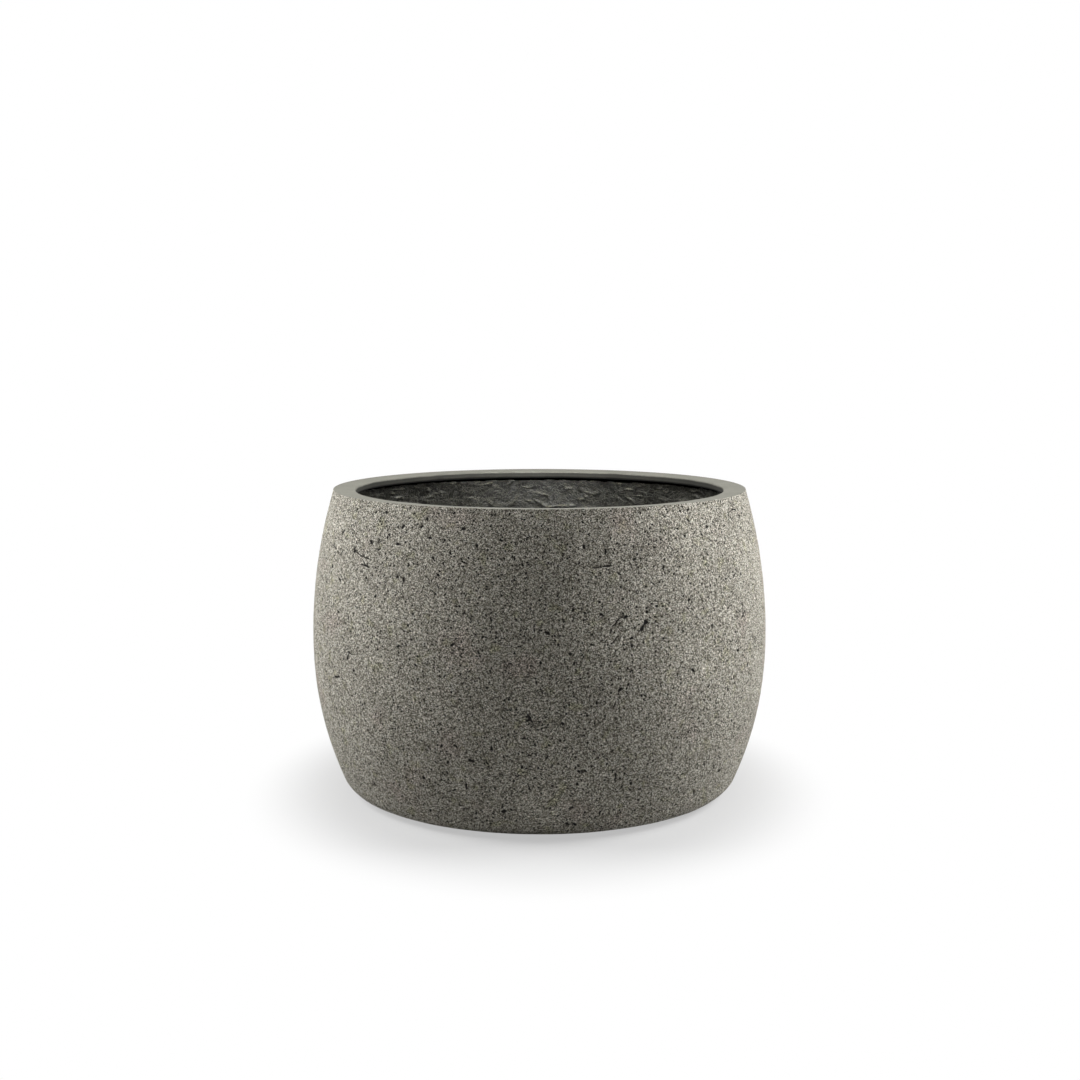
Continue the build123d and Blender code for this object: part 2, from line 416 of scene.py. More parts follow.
def nearest_on(mark, around, along):
    """Way from each point to the nearest point of a flaw's line, and its distance less the flaw's
    half-width there. The nearest point of each step of the line is the foot of the perpendicular, or an
    end, and the step with the least distance is taken."""
    start, step = mark["run"][:-1], np.diff(mark["run"], axis=0)
    offset = np.stack([around, along], -1)[..., None, :] - start
    share = np.clip((offset * step).sum(-1) / (step**2).sum(-1), 0, 1)
    way = share[..., None] * step - offset
    half_width = mark["widths"][:-1] * (1 - share) + mark["widths"][1:] * share
    gap = np.hypot(way[..., 0], way[..., 1]) - half_width
    pick = gap.argmin(-1)[..., None]
    way = np.take_along_axis(way, pick[..., None], -2)[..., 0, :]
    return way, np.take_along_axis(gap, pick, -1)[..., 0]


def draw_in(section, angle, place, flaws, held):
    """Draws the grid in to each flaw, so that it gets enough vertices. A vertex comes nearer to the flaw's
    line by a share of its distance: DRAW_SHARE times the square of one less the squared distance over the
    squared reach, and less where the grid is held."""
    for mark in flaws:
        cells = window(section, angle.shape[1], mark, DRAW_REACH + np.abs(mark["run"]).max())
        around, along, radius = offsets(section, mark, angle[cells], place[cells])
        way, _ = nearest_on(mark, around, along)
        near = np.clip(1 - (way**2).sum(-1) / DRAW_REACH**2, 0, 1)
        share = DRAW_SHARE * near**2 * held[cells]
        angle[cells] += way[..., 0] * share / radius
        place[cells] += way[..., 1] * share


def sink(section, angle, place, flaws):
    """Distance of each vertex from the nearest flaw's edge, below 0 inside it, and the depth there: the
    full depth along the flaw's line, faded to none where the rounding of its edge ends."""
    distance = np.full_like(angle, NOTED_REACH)
    depth = np.zeros_like(angle)
    for mark in flaws:
        cells = window(section, angle.shape[1], mark, NOTED_REACH + np.abs(mark["run"]).max())
        around, along, _ = offsets(section, mark, angle[cells], place[cells])
        _, gap = nearest_on(mark, around, along)
        distance[cells] = np.minimum(distance[cells], gap)
        sunk = mark["depth"] * (1 - fade(gap, -mark["widths"].mean(), EDGE_ROUNDING))
        depth[cells] = np.maximum(depth[cells], sunk)
    return distance, depth


def make_face():
    """The face: the turned section, a few tenths of a millimetre uneven as brushed by hand, with its pits
    and cracks sunk in. The land's edge and the underside keep their true shape. The attribute hollow is
    the distance from the nearest flaw's edge in millimetres."""
    section = face_section()
    angle, place = grid(section, FACE_COLUMNS)
    wall_end = section.marks[3]
    held = fade(place, 0, 5 * MM) * (1 - fade(place, wall_end - 8 * MM, wall_end))
    flaws = seen_flaws(section, wall_end) + scattered_flaws(wall_end - FLAW_MARGIN)
    draw_in(section, angle, place, flaws, held)
    distance, depth = sink(section, angle, place, flaws)
    on_wall = fade(place, 0, 6 * MM) * (1 - fade(place, wall_end - 20 * MM, wall_end))
    waves = 0.28 * smooth_noise(section, angle, place, 70 * MM, 1)
    waves += 0.14 * smooth_noise(section, angle, place, 24 * MM, 2)
    grain = 0.10 * smooth_noise(section, angle, place, 7 * MM, 3)
    relief = (waves + grain - 0.2) * MM * on_wall - depth * fade(place, 0, 2 * MM)
    relief[section.rows > wall_end] = 0
    face = turned_mesh("stone_face_cast", section, angle, place, relief, distance / MM)
    face.data.materials.append(stone_filled_resin())
    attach(face, "planter")
    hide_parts("stone_face")


# Rim

RIM_COLUMNS = 480
# How far the land falls from its outer edge to the mouth, as the photograph shows
LAND_FALL = 1.4 * MM


def rim_section():
    """Outline of the rim: the land, which falls a little towards the mouth, out to the face's edge, down the
    mitre and the lap to the lip's underside, and up the lip."""
    land_top = RIM_TOP - LAND_FALL
    land_centre = (MOUTH_RADIUS + LAND_EDGE_RADIUS, land_top - LAND_EDGE_RADIUS)
    lip_centre = (MOUTH_RADIUS + LIP_EDGE_RADIUS, LIP_UNDERSIDE + LIP_EDGE_RADIUS)
    lap = arc(UPPER_CENTRE, UPPER_WALL_RADIUS - LINING_INSET, upper_angle(LINING_INSET, LAMINATE_TOP),
              upper_angle(LINING_INSET, LIP_UNDERSIDE))
    return Section([
        (line((land_centre[0], land_top), (RIM_RADIUS, RIM_TOP)), 1.6 * MM),
        (line((RIM_RADIUS, RIM_TOP), upper_point(FACE_THICKNESS, MITRE_HEIGHT)), 5 * MM),
        (arc(UPPER_CENTRE, UPPER_WALL_RADIUS - FACE_THICKNESS, upper_angle(FACE_THICKNESS, MITRE_HEIGHT),
             upper_angle(FACE_THICKNESS, LAMINATE_TOP)), 3 * MM),
        (line(upper_point(FACE_THICKNESS, LAMINATE_TOP), upper_point(LINING_INSET, LAMINATE_TOP)), 4 * MM),
        (lap, 3 * MM),
        (line(upper_point(LINING_INSET, LIP_UNDERSIDE), (lip_centre[0], LIP_UNDERSIDE)), 3 * MM),
        (arc(lip_centre, LIP_EDGE_RADIUS, -math.pi / 2, -math.pi), 0.6 * MM),
        (line((MOUTH_RADIUS, lip_centre[1]), (MOUTH_RADIUS, land_centre[1])), 1 * MM),
        (arc(land_centre, LAND_EDGE_RADIUS, math.pi, math.pi / 2), 0.4 * MM),
    ])


def make_rim():
    """The rim: sanded by hand, so that the land dips and the lip wavers by up to 0.4 mm, and not at all
    where the face and the lining meet it."""
    section = rim_section()
    angle, place = grid(section, RIM_COLUMNS)
    land_end, lip_start = section.marks[1], section.marks[5]
    seen = (place < land_end) | (place > lip_start)
    at_face = fade(np.minimum(np.abs(place - land_end), np.abs(place - lip_start)), 0, 5 * MM)
    waves = 0.16 * smooth_noise(section, angle, place, 60 * MM, 11)
    waves += 0.06 * smooth_noise(section, angle, place, 14 * MM, 12)
    relief = (waves - 0.15) * MM * at_face * seen
    rim = turned_mesh("rim_sanded", section, angle, place, relief)
    rim.data.materials.append(sanded_resin())
    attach(rim, "planter")
    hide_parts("rim")


# Glass lining

LINING_COLUMNS = 660
STRAND_SEED = 53
WRINKLES = 2800
MAT_LAPS = 30
# The photograph shows this much of the lining below the lip, so the rows lie closest there
SEEN_BAND = 52 * MM
# A fold's height that counts as fully proud of the resin
PROUD = 2 * MM
# Width of the band under the lip that is painted black as a painted shadow, and by how much it varies, in
# millimetres
PAINTED_LIP_SHADOW_BAND = (5.4, 0.9)


def lining_section():
    """Outline of the lining: from the seat out along the floor, up the cove and the inside wall, over the
    top edge, down the outside, in along the underside, and up the drain hole to the seat."""
    inset = FACE_THICKNESS
    outside, outer_flat = wall_stretches(inset, LAMINATE_TOP, LAMINATE_BOTTOM, CORNER_RADIUS - inset)
    inside, floor = wall_stretches(LINING_INSET, LAMINATE_TOP, FLOOR_HEIGHT, FLOOR_COVE_RADIUS)
    ring, recess = underside_points(inset)
    hole = DRAIN_RADIUS
    top = arc(UPPER_CENTRE, UPPER_WALL_RADIUS - LINING_INSET, upper_angle(LINING_INSET, LAMINATE_TOP),
              upper_angle(LINING_INSET, LIP_UNDERSIDE))
    band = arc(UPPER_CENTRE, UPPER_WALL_RADIUS - LINING_INSET, upper_angle(LINING_INSET, LIP_UNDERSIDE),
               upper_angle(LINING_INSET, LIP_UNDERSIDE - SEEN_BAND))
    rest = arc(UPPER_CENTRE, UPPER_WALL_RADIUS - LINING_INSET,
               upper_angle(LINING_INSET, LIP_UNDERSIDE - SEEN_BAND), 0)
    return Section([
        (line((floor, FLOOR_HEIGHT), (SEAT_RADIUS, FLOOR_HEIGHT))[::-1], 14 * MM),
        (inside[2][::-1], 6 * MM),
        (inside[1][::-1], 6.4 * MM),
        (rest[::-1], 6.4 * MM),
        (band[::-1], 0.85 * MM),
        (top[::-1], 5 * MM),
        (line(upper_point(LINING_INSET, LAMINATE_TOP), upper_point(inset, LAMINATE_TOP)), 4 * MM),
        *[(p, 60 * MM) for p in outside],
        (line((outer_flat, LAMINATE_BOTTOM), ring, recess, (hole, recess[1])), 80 * MM),
        (line((hole, recess[1]), (hole, SEAT_HEIGHT)), 3 * MM),
        (line((hole, SEAT_HEIGHT), (SEAT_RADIUS, SEAT_HEIGHT)), 4 * MM),
        (line((SEAT_RADIUS, SEAT_HEIGHT), (SEAT_RADIUS, FLOOR_HEIGHT)), 1 * MM),
    ])


def lay_strokes(section, angle, place, strokes):
    """Height of raised strokes, such as a fold in the glass mat. With p the share of the half-length along
    a stroke and q the distance across it, less a bend that grows with p squared and a wave that is a sine
    of p, the height is a bell of q, narrower on one side, times the root of one less p squared. Where
    strokes cross, the highest counts."""
    height = np.zeros_like(angle)
    for stroke in strokes:
        cells = window(section, angle.shape[1], stroke, stroke["length"] / 2 + 3 * stroke["width"])
        around, along, _ = offsets(section, stroke, angle[cells], place[cells])
        cos, sin = math.cos(stroke["tilt"]), math.sin(stroke["tilt"])
        p = (around * cos + along * sin) / (stroke["length"] / 2)
        q = along * cos - around * sin - stroke["bend"] * (p * p - 0.4)
        q = q - stroke["wave"] * np.sin(4 * p + stroke["phase"])
        width = np.where(q > 0, stroke["width"], stroke["width"] * 0.55)
        bell = np.exp(-((q / width) ** 2)) * np.sqrt(np.clip(1 - p * p, 0, 1))
        height[cells] = np.maximum(height[cells], stroke["height"] * bell)
    return height


def mat_strokes(section, start, end):
    """Folds and pinched strands of the chopped strand mat, at random over the wall and the floor, most of
    them on the slant, with a few long laps where two pieces of mat meet."""
    rng = np.random.default_rng(STRAND_SEED)
    strokes = []
    for _ in range(WRINKLES):
        length = rng.uniform(9, 32) * MM
        strokes.append(dict(
            angle=rng.random() * FULL_TURN, place=rng.uniform(start, end), length=length,
            width=rng.uniform(1.3, 2.6) * MM, height=rng.uniform(0.8, 2.5) * MM,
            tilt=rng.choice((-0.5, 0.5)) + rng.normal(0, 0.45), bend=rng.normal(0, 0.16) * length,
            wave=rng.uniform(0, 1.6) * MM, phase=rng.random() * FULL_TURN,
        ))
    for _ in range(MAT_LAPS):
        length = rng.uniform(50, 120) * MM
        strokes.append(dict(
            angle=rng.random() * FULL_TURN, place=rng.uniform(start, end), length=length,
            width=rng.uniform(2.5, 4.5) * MM, height=rng.uniform(0.8, 1.8) * MM, tilt=rng.normal(0, 0.6),
            bend=rng.normal(0, 0.12) * length, wave=rng.uniform(1, 4) * MM, phase=rng.random() * FULL_TURN,
        ))
    return strokes


def make_lining():
    """The lining: resin-wet glass mat that was pressed into the mould by hand, with folds, laps and lumps.
    They fade out towards the seat and at the lip. The attribute hollow is the folds' height as a share of
    a proud one's, and -1 in a band under the lip that the material paints black as a painted shadow."""
    section = lining_section()
    angle, place = grid(section, LINING_COLUMNS)
    end = section.marks[5]  # where the rim's lap begins
    free = fade(place, 0, 150 * MM) * (1 - fade(place, end - 4 * MM, end - 0.5 * MM))
    strokes = lay_strokes(section, angle, place, mat_strokes(section, 0, end)) * free
    warp = 6 * MM * smooth_noise(section, angle, place, 30 * MM, 21)
    lumps = 0.9 * smooth_noise(section, angle, place, 60 * MM, 22)
    mat = 0.6 * smooth_noise(section, angle + warp / BELLY_RADIUS, place + warp, 12 * MM, 23)
    fine = 0.4 * smooth_noise(section, angle, place + warp, 5 * MM, 24)
    relief = (lumps + mat + fine + 1.2) * MM * free + strokes
    relief[section.rows >= end] = 0
    # A painted shadow: the band just under the lip, of uneven width, which the material paints black
    width, waver = PAINTED_LIP_SHADOW_BAND
    corner = end - (width + waver * smooth_noise(section, angle, place, 9 * MM, 25)) * MM
    painted_lip_shadow = fade(place, corner, corner + 1 * MM) * (place < end + 2 * MM)
    hollow = np.clip(strokes / PROUD, 0, 1) - 2 * painted_lip_shadow
    lining = turned_mesh("glass_lining_laid", section, angle, place, relief, np.clip(hollow, -1, 1))
    lining.data.materials.append(hand_laid_laminate())
    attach(lining, "planter")
    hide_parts("glass_lining")


# Materials. A texture's scale is in cells per metre, so that 1000 is one to a millimetre.

# A noise lies between about these two values
NOISE_RANGE = {"From Min": 0.3, "From Max": 0.7}


def linear(hex_colour):
    """A hex colour of the sRGB scale, turned to linear light."""
    values = [int(hex_colour[i:i + 2], 16) / 255 for i in (1, 3, 5)]
    return [v / 12.92 if v <= 0.04045 else ((v + 0.055) / 1.055) ** 2.4 for v in values] + [1.0]


def add(tree, kind, inputs=None, output=0, **settings):
    """Adds a node with its settings, sets or links each of its inputs by name or number, and returns the
    output of that name or number."""
    node = tree.nodes.new(kind)
    for name, value in settings.items():
        setattr(node, name, value)
    for name, value in (inputs or {}).items():
        if isinstance(value, bpy.types.NodeSocket):
            tree.links.new(value, node.inputs[name])
        else:
            node.inputs[name].default_value = value
    return node.outputs[output] if node.outputs else None


def new_material(name):
    """A material with an empty node tree."""
    material = bpy.data.materials.new(name)
    material.use_nodes = True
    material.node_tree.nodes.clear()
    return material, material.node_tree


def stone_filled_resin():
    """Polyester resin filled with stone powder and sand, cast thin and brushed while soft. The sand shows
    as pale and dark grains, air as pinholes, and the pigment lies in faint clouds. The pinholes and the
    modelled pits and cracks are painted near-black as painted shade."""
    material, tree = new_material("stone_filled_resin_brushed")
    place = add(tree, "ShaderNodeTexCoord", output="Object")
    # Sand grains of 0.3 to 0.8 mm, drawn 1 mm across, because finer ones wouldn't show in the picture
    grain = add(tree, "ShaderNodeTexVoronoi", {"Vector": place, "Scale": 1000.0}, "Color")
    grain = add(tree, "ShaderNodeSeparateColor", {"Color": grain}, "Red")
    grain = add(tree, "ShaderNodeMath", {0: grain, 1: 2.0}, operation="POWER")
    grain_shade = add(tree, "ShaderNodeMapRange", {"Value": grain, "To Min": 0.15, "To Max": 2.75})
    # Stone powder in lumps of 2 mm and less
    powder = add(tree, "ShaderNodeTexNoise", {
        "Vector": place, "Scale": 500.0, "Detail": 3.0, "Roughness": 0.7})
    powder_shade = add(tree, "ShaderNodeMapRange", {
        "Value": powder, **NOISE_RANGE, "To Min": 0.84, "To Max": 1.12})
    # Pinholes, one in each cell of 3 mm: most are too small to see, and the largest are 3 mm across. They
    # are painted black as painted shade, with only a slight dent from the bump.
    holes = add(tree, "ShaderNodeTexVoronoi", {"Vector": place, "Scale": 330.0}).node.outputs
    chance = add(tree, "ShaderNodeSeparateColor", {"Color": holes["Color"]}, "Green")
    chance = add(tree, "ShaderNodeMath", {0: chance, 1: 3.0}, operation="POWER")
    size = add(tree, "ShaderNodeMapRange", {"Value": chance, "To Max": 0.53})
    hole = add(tree, "ShaderNodeMath", {0: size, 1: holes["Distance"]}, operation="SUBTRACT")
    hole = add(tree, "ShaderNodeMapRange", {"Value": hole, "From Max": 0.05})
    # Painted shade inside the modelled pits and cracks, whose edge a noise makes ragged
    hollow = add(tree, "ShaderNodeAttribute", output="Fac", attribute_name="hollow")
    ragged = add(tree, "ShaderNodeTexNoise", {"Vector": place, "Scale": 800.0, "Detail": 2.0})
    ragged = add(tree, "ShaderNodeMath", {0: ragged, 1: hollow}, operation="ADD")
    inside = add(tree, "ShaderNodeMapRange", {
        "Value": ragged, "From Min": 0.7, "From Max": 0.95, "To Min": 1.0, "To Max": 0.0})
    painted_pit_shade = add(tree, "ShaderNodeMath", {0: hole, 1: inside}, operation="MAXIMUM")
    # Clouds of pigment 80 mm across, and faint olive and pink stains of 15 and 60 mm
    clouds = add(tree, "ShaderNodeTexNoise", {
        "Vector": place, "Scale": 12.0, "Detail": 4.0, "Roughness": 0.6})
    cloud_shade = add(tree, "ShaderNodeMapRange", {
        "Value": clouds, **NOISE_RANGE, "To Min": 0.9, "To Max": 1.1})
    olive = add(tree, "ShaderNodeTexNoise", {"Vector": place, "Scale": 60.0, "Detail": 2.0})
    olive = add(tree, "ShaderNodeMapRange", {
        "Value": olive, "From Min": 0.6, "From Max": 0.7, "To Max": 0.6})
    pink = add(tree, "ShaderNodeTexNoise", {
        "Vector": place, "Scale": 15.0, "Detail": 2.0, "W": 4.0}, noise_dimensions="4D")
    pink = add(tree, "ShaderNodeMapRange", {
        "Value": pink, "From Min": 0.58, "From Max": 0.7, "To Max": 0.3})
    colour = linear("#9c9686")
    for share, other in ((grain, "#9d9b94"), (olive, "#8f8d74"), (pink, "#a08f88")):
        colour = add(tree, "ShaderNodeMix", {"Factor": share, "A": colour, "B": linear(other)}, "Result",
                     data_type="RGBA")
    shade = grain_shade
    for factor in (powder_shade, cloud_shade):
        shade = add(tree, "ShaderNodeMath", {0: shade, 1: factor}, operation="MULTIPLY")
    colour = add(tree, "ShaderNodeVectorMath", {0: colour, "Scale": shade}, operation="SCALE")
    # Painted shade: pinholes, pits and cracks painted near-black
    colour = add(tree, "ShaderNodeMix", {"Factor": painted_pit_shade, "A": colour, "B": linear("#14120f")}, "Result",
                 data_type="RGBA")
    height = add(tree, "ShaderNodeMath", {0: grain_shade, 1: powder_shade}, operation="ADD")
    height = add(tree, "ShaderNodeMath", {0: height, 1: painted_pit_shade}, operation="SUBTRACT")
    bump = add(tree, "ShaderNodeBump", {"Height": height, "Distance": 0.2 * MM, "Strength": 1.0})
    surface = add(tree, "ShaderNodeBsdfPrincipled", {
        "Base Color": colour, "Roughness": 0.9, "IOR": 1.5, "Specular IOR Level": 0.3, "Normal": bump})
    add(tree, "ShaderNodeOutputMaterial", {"Surface": surface})
    return material


def sanded_resin():
    """The same filled resin, cast as a rim and sanded flat: greener and smooth, with only a fine speckle.
    The lip's face is painted darker as painted shade, and its lower edge, which faces down, darker still as
    painted shade."""
    material, tree = new_material("stone_filled_resin_sanded")
    place = add(tree, "ShaderNodeTexCoord", output="Object")
    # Cut grains of 2 mm and less, and clouds of pigment 60 mm across
    speckle = add(tree, "ShaderNodeTexNoise", {
        "Vector": place, "Scale": 420.0, "Detail": 4.0, "Roughness": 0.7})
    shade = add(tree, "ShaderNodeMapRange", {
        "Value": speckle, **NOISE_RANGE, "To Min": 0.86, "To Max": 1.14})
    clouds = add(tree, "ShaderNodeTexNoise", {
        "Vector": place, "Scale": 16.0, "Detail": 5.0, "Roughness": 0.6})
    cloud_shade = add(tree, "ShaderNodeMapRange", {
        "Value": clouds, **NOISE_RANGE, "To Min": 0.9, "To Max": 1.1})
    # Height up the lip, made uneven by 1.5 mm with the clouds' noise, where the painted shade begins
    height = add(tree, "ShaderNodeSeparateXYZ", {"Vector": place}, "Z")
    run = add(tree, "ShaderNodeMapRange", {
        "Value": clouds, "To Min": -1.5 * MM, "To Max": 1.5 * MM})
    height = add(tree, "ShaderNodeMath", {0: height, 1: run}, operation="ADD")
    # Painted shade: the lip's face is darkened to 0.17
    painted_lip_face_shade = add(tree, "ShaderNodeMapRange", {
        "Value": height, "From Min": LIP_UNDERSIDE + 7.4 * MM, "From Max": LIP_UNDERSIDE + 8.8 * MM,
        "To Min": 0.17, "To Max": 1.0})
    # Painted shade: the lip's lower edge, which faces down, is darkened further, to 0.15
    painted_lip_edge_shade = add(tree, "ShaderNodeMapRange", {
        "Value": height, "From Min": LIP_UNDERSIDE + 1.5 * MM, "From Max": LIP_UNDERSIDE + 3.5 * MM,
        "To Min": 0.15, "To Max": 1.0})
    for factor in (cloud_shade, painted_lip_face_shade, painted_lip_edge_shade):
        shade = add(tree, "ShaderNodeMath", {0: shade, 1: factor}, operation="MULTIPLY")
    colour = add(tree, "ShaderNodeVectorMath", {
        0: linear("#7d7c73")[:3], "Scale": shade}, operation="SCALE")
    rough = add(tree, "ShaderNodeMapRange", {"Value": speckle, "To Min": 0.7, "To Max": 0.9})
    bump = add(tree, "ShaderNodeBump", {"Height": speckle, "Distance": 0.12 * MM, "Strength": 0.6})
    surface = add(tree, "ShaderNodeBsdfPrincipled", {
        "Base Color": colour, "Roughness": rough, "IOR": 1.5, "Specular IOR Level": 0.2, "Normal": bump})
    add(tree, "ShaderNodeOutputMaterial", {"Surface": surface})
    return material


def hand_laid_laminate():
    """Chopped strand glass mat wetted out with dark pigmented polyester: half glossy, with strands that
    stand proud, painted paler on top, partly as pale glass where little resin covers them and partly as a
    painted highlight. What faces up is painted lighter and what faces down darker, as painted light and
    shade, and the band under the lip is painted black and without gloss as a painted shadow."""
    material, tree = new_material("hand_laid_glass_laminate")
    place = add(tree, "ShaderNodeTexCoord", output="Object")
    # Strand bundles 1 to 2 mm wide that lie across each other: the ridges of a noise of 5 mm, where it
    # passes 0.5, bent by another of 14 mm
    bend = add(tree, "ShaderNodeTexNoise", {"Vector": place, "Scale": 70.0, "Detail": 1.0}, "Color")
    bent = add(tree, "ShaderNodeVectorMath", {0: bend, "Scale": 14 * MM}, operation="SCALE")
    bent = add(tree, "ShaderNodeVectorMath", {0: bent, 1: place}, operation="ADD")
    strands = add(tree, "ShaderNodeTexNoise", {
        "Vector": bent, "Scale": 190.0, "Detail": 2.0, "Roughness": 0.6})
    strands = add(tree, "ShaderNodeMath", {0: strands, 1: 0.5}, operation="SUBTRACT")
    strands = add(tree, "ShaderNodeMath", {0: strands}, operation="ABSOLUTE")
    strands = add(tree, "ShaderNodeMapRange", {
        "Value": strands, "From Max": 0.09, "To Min": 1.0, "To Max": 0.0})
    # Resin drops and fibre ends of about 1 mm
    drops = add(tree, "ShaderNodeTexNoise", {
        "Vector": place, "Scale": 520.0, "Detail": 3.0, "Roughness": 0.65})
    height = add(tree, "ShaderNodeMath", {0: strands, 1: 0.8}, operation="MULTIPLY")
    height = add(tree, "ShaderNodeMath", {0: drops, 1: height}, operation="ADD")
    bump = add(tree, "ShaderNodeBump", {"Height": height, "Distance": 0.55 * MM, "Strength": 1.0})
    # Modelled folds and strands that stand proud, painted paler on top, drops, and painted light and shade
    # by which way the surface faces
    hollow = add(tree, "ShaderNodeAttribute", output="Fac", attribute_name="hollow")
    proud = add(tree, "ShaderNodeMath", {0: hollow, 1: strands}, operation="ADD")
    # Ridge tops painted up to 1.9 times paler: partly pale glass under thin resin, partly a painted
    # highlight
    shade = add(tree, "ShaderNodeMapRange", {
        "Value": proud, "From Max": 2.0, "To Min": 0.7, "To Max": 1.9})
    grit = add(tree, "ShaderNodeMapRange", {
        "Value": drops, **NOISE_RANGE, "To Min": 0.3, "To Max": 1.7})
    # Painted light and shade: what faces up is painted up to 3.2 times lighter, what faces down as dark as
    # 0.1
    upward = add(tree, "ShaderNodeSeparateXYZ", {"Vector": bump}, "Z")
    dust_and_painted_light = add(tree, "ShaderNodeMapRange", {
        "Value": upward, "From Min": -0.2, "From Max": 0.7, "To Min": 0.1, "To Max": 3.2})
    # Painted shadow: the band under the lip, where hollow is -1, goes black and loses its gloss
    painted_lip_shadow = add(tree, "ShaderNodeMapRange", {"Value": hollow, "From Min": -0.6, "From Max": 0.0})
    for factor in (grit, dust_and_painted_light, painted_lip_shadow):
        shade = add(tree, "ShaderNodeMath", {0: shade, 1: factor}, operation="MULTIPLY")
    colour = add(tree, "ShaderNodeVectorMath", {
        0: linear("#3a392f")[:3], "Scale": shade}, operation="SCALE")
    rough = add(tree, "ShaderNodeMapRange", {"Value": drops, "To Min": 0.25, "To Max": 0.55})
    gloss = add(tree, "ShaderNodeMapRange", {"Value": painted_lip_shadow, "To Min": 0.0, "To Max": 0.5})
    surface = add(tree, "ShaderNodeBsdfPrincipled", {
        "Base Color": colour, "Roughness": rough, "IOR": 1.55, "Specular IOR Level": gloss,
        "Normal": bump})
    add(tree, "ShaderNodeOutputMaterial", {"Surface": surface})
    return material


def moulded_rubber(name, hex_colour):
    """Black EPDM rubber from a spark-eroded mould: dull, with a fine even grain and a trace of dust."""
    material, tree = new_material(name)
    place = add(tree, "ShaderNodeTexCoord", output="Object")
    grain = add(tree, "ShaderNodeTexNoise", {"Vector": place, "Scale": 1400.0, "Detail": 3.0})
    # Dust in faint pale patches
    dust_and_painted_light = add(tree, "ShaderNodeTexNoise", {
        "Vector": place, "Scale": 90.0, "Detail": 4.0, "Roughness": 0.7})
    share = add(tree, "ShaderNodeMapRange", {
        "Value": dust_and_painted_light, "From Min": 0.45, "From Max": 0.75, "To Max": 0.2})
    colour = add(tree, "ShaderNodeMix", {
        "Factor": share, "A": linear(hex_colour), "B": linear("#5c5a53")}, "Result", data_type="RGBA")
    rough = add(tree, "ShaderNodeMapRange", {"Value": grain, "To Min": 0.6, "To Max": 0.85})
    bump = add(tree, "ShaderNodeBump", {"Height": grain, "Distance": 0.1 * MM, "Strength": 0.7})
    surface = add(tree, "ShaderNodeBsdfPrincipled", {
        "Base Color": colour, "Roughness": rough, "IOR": 1.52, "Specular IOR Level": 0.3, "Normal": bump})
    add(tree, "ShaderNodeOutputMaterial", {"Surface": surface})
    return material


def finish_rubber_parts():
    """The plug and the pads keep their CAD shape and get rubber."""
    plug_rubber = moulded_rubber("epdm_rubber_plug", "#26262a")
    pad_rubber = moulded_rubber("epdm_rubber_pad", "#2b2a28")
    for name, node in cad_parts.items():
        if name == "drain_plug" or name.startswith("floor_pad"):
            node.data.materials.clear()
            node.data.materials.append(plug_rubber if name == "drain_plug" else pad_rubber)


# Floor, background and light

WHITE = (1, 1, 1, 1)
FLOOR_REACH = 6.0
# The shadow fades to white between these distances from the planter's axis. It reaches a little farther
# to the front and the back than to the sides.
SHADOW_START = 0.26
SHADOW_END = 0.41
SHADOW_STRETCH = (1.03, 0.87, 1)
# The ground under the planter, which only the open drain shows, is left dark up to the first distance
HIDDEN_GROUND = (100 * MM, 180 * MM)
SHADOW_LIFT = 0.48
# The floor as the planter's light sees it, and as the camera sees it in the shadow
LIT_GREY = (0.42, 0.42, 0.42, 1)
SHADOW_GREY = (0.25, 0.25, 0.25, 1)
# The world's share of light, against the white that the camera sees
AMBIENT = 0.04


def seen_directly(tree):
    """1 for the rays of the camera, of mirrors and of glass, which see the white background, and 0 for the
    rays that only bring light."""
    rays = add(tree, "ShaderNodeLightPath").node.outputs
    seen = add(tree, "ShaderNodeMath", {
        0: rays["Is Camera Ray"], 1: rays["Is Glossy Ray"]}, operation="MAXIMUM")
    return add(tree, "ShaderNodeMath", {0: seen, 1: rays["Is Transmission Ray"]}, operation="MAXIMUM")


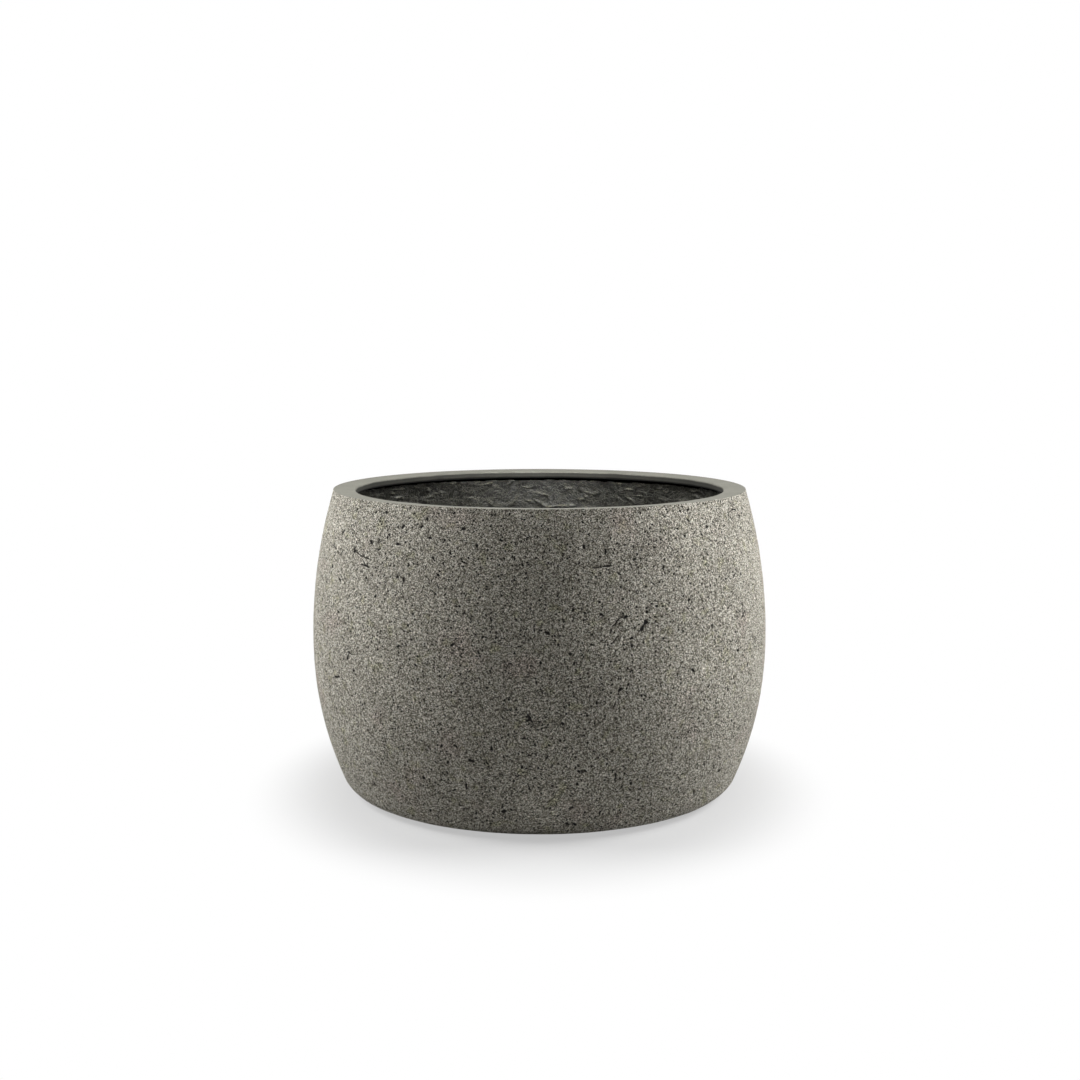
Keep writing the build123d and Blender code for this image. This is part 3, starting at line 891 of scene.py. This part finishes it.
def make_floor():
    """A white floor that keeps the soft shadow round the planter. Seen by the camera it is lifted to white
    away from the planter, and seen from below it is clear; everything else sees a plain pale floor."""
    mesh = bpy.data.meshes.new("floor")
    reach = FLOOR_REACH
    corners = [(-reach, -reach, 0), (reach, -reach, 0), (reach, reach, 0), (-reach, reach, 0)]
    mesh.from_pydata(corners, [], [(0, 1, 2, 3)])
    floor = bpy.data.objects.new("floor", mesh)
    bpy.context.collection.objects.link(floor)
    material, tree = new_material("white_studio_floor")
    place = add(tree, "ShaderNodeTexCoord", output="Object")
    oval = add(tree, "ShaderNodeVectorMath", {0: place, 1: SHADOW_STRETCH}, operation="MULTIPLY")
    length = add(tree, "ShaderNodeVectorMath", {0: oval}, "Value", operation="LENGTH")
    away = add(tree, "ShaderNodeMapRange", {
        "Value": length, "From Min": SHADOW_START, "From Max": SHADOW_END},
        interpolation_type="SMOOTHSTEP")
    open_ground = add(tree, "ShaderNodeMapRange", {
        "Value": length, "From Min": HIDDEN_GROUND[0], "From Max": HIDDEN_GROUND[1],
        "To Max": SHADOW_LIFT})
    plain = add(tree, "ShaderNodeBsdfDiffuse", {"Color": LIT_GREY})
    pale = add(tree, "ShaderNodeBsdfDiffuse", {"Color": SHADOW_GREY})
    lift = add(tree, "ShaderNodeEmission", {"Color": WHITE, "Strength": open_ground})
    white = add(tree, "ShaderNodeEmission", {"Color": WHITE, "Strength": 1.0})
    lifted = add(tree, "ShaderNodeAddShader", {0: pale, 1: lift})
    seen = add(tree, "ShaderNodeMixShader", {0: away, 1: lifted, 2: white})
    surface = add(tree, "ShaderNodeMixShader", {0: seen_directly(tree), 1: plain, 2: seen})
    camera_ray = add(tree, "ShaderNodeLightPath", output="Is Camera Ray")
    below = add(tree, "ShaderNodeNewGeometry", output="Backfacing")
    below = add(tree, "ShaderNodeMath", {0: below, 1: camera_ray}, operation="MULTIPLY")
    clear = add(tree, "ShaderNodeBsdfTransparent")
    surface = add(tree, "ShaderNodeMixShader", {0: below, 1: surface, 2: clear})
    add(tree, "ShaderNodeOutputMaterial", {"Surface": surface})
    mesh.materials.append(material)


def make_world():
    """A white background to the camera, and a weaker even light on everything else."""
    world = bpy.data.worlds.new("studio")
    bpy.context.scene.world = world
    world.use_nodes = True
    tree = world.node_tree
    tree.nodes.clear()
    strength = add(tree, "ShaderNodeMapRange", {
        "Value": seen_directly(tree), "To Min": AMBIENT, "To Max": 1.0})
    background = add(tree, "ShaderNodeBackground", {"Color": WHITE, "Strength": strength})
    add(tree, "ShaderNodeOutputWorld", {"Surface": background})


def make_softbox(name, place, target, width, height, watts, spread=180):
    """A rectangular soft lamp that faces a target and spreads its light over an angle in degrees."""
    lamp = bpy.data.lights.new(name, "AREA")
    lamp.shape = "RECTANGLE"
    lamp.size = width
    lamp.size_y = height
    lamp.energy = watts
    lamp.spread = math.radians(spread)
    box = bpy.data.objects.new(name, lamp)
    direction = np.subtract(target, place)
    yaw = math.atan2(direction[0], -direction[1])
    pitch = math.atan2(np.hypot(direction[0], direction[1]), -direction[2])
    box.rotation_euler = (pitch, 0, yaw + math.pi)
    box.location = place
    box.visible_camera = False
    bpy.context.collection.objects.link(box)


def make_lights():
    """Two softboxes at the planter's sides, which leave its front darker, a weak one above the camera, and
    a small strip inside, under the near lip, that lifts the far side of the lining."""
    middle = (0, 0, 0.25)
    make_softbox("left_softbox", (-1.5, 0, 1.2), middle, 0.9, 0.9, 36)
    make_softbox("right_softbox", (1.5, 0, 1.2), middle, 0.9, 0.9, 41.5)
    make_softbox("front_softbox", (0, -0.9, 1.8), middle, 1.4, 0.8, 4)
    make_softbox("inside_strip", (0, -0.17, 0.366), (0, 0.26, 0.362), 0.22, 0.02, 0.28, spread=54)


make_camera()
make_face()
make_rim()
make_lining()
finish_rubber_parts()
make_floor()
make_world()
make_lights()

scene = bpy.context.scene
scene.view_settings.view_transform = "Standard"
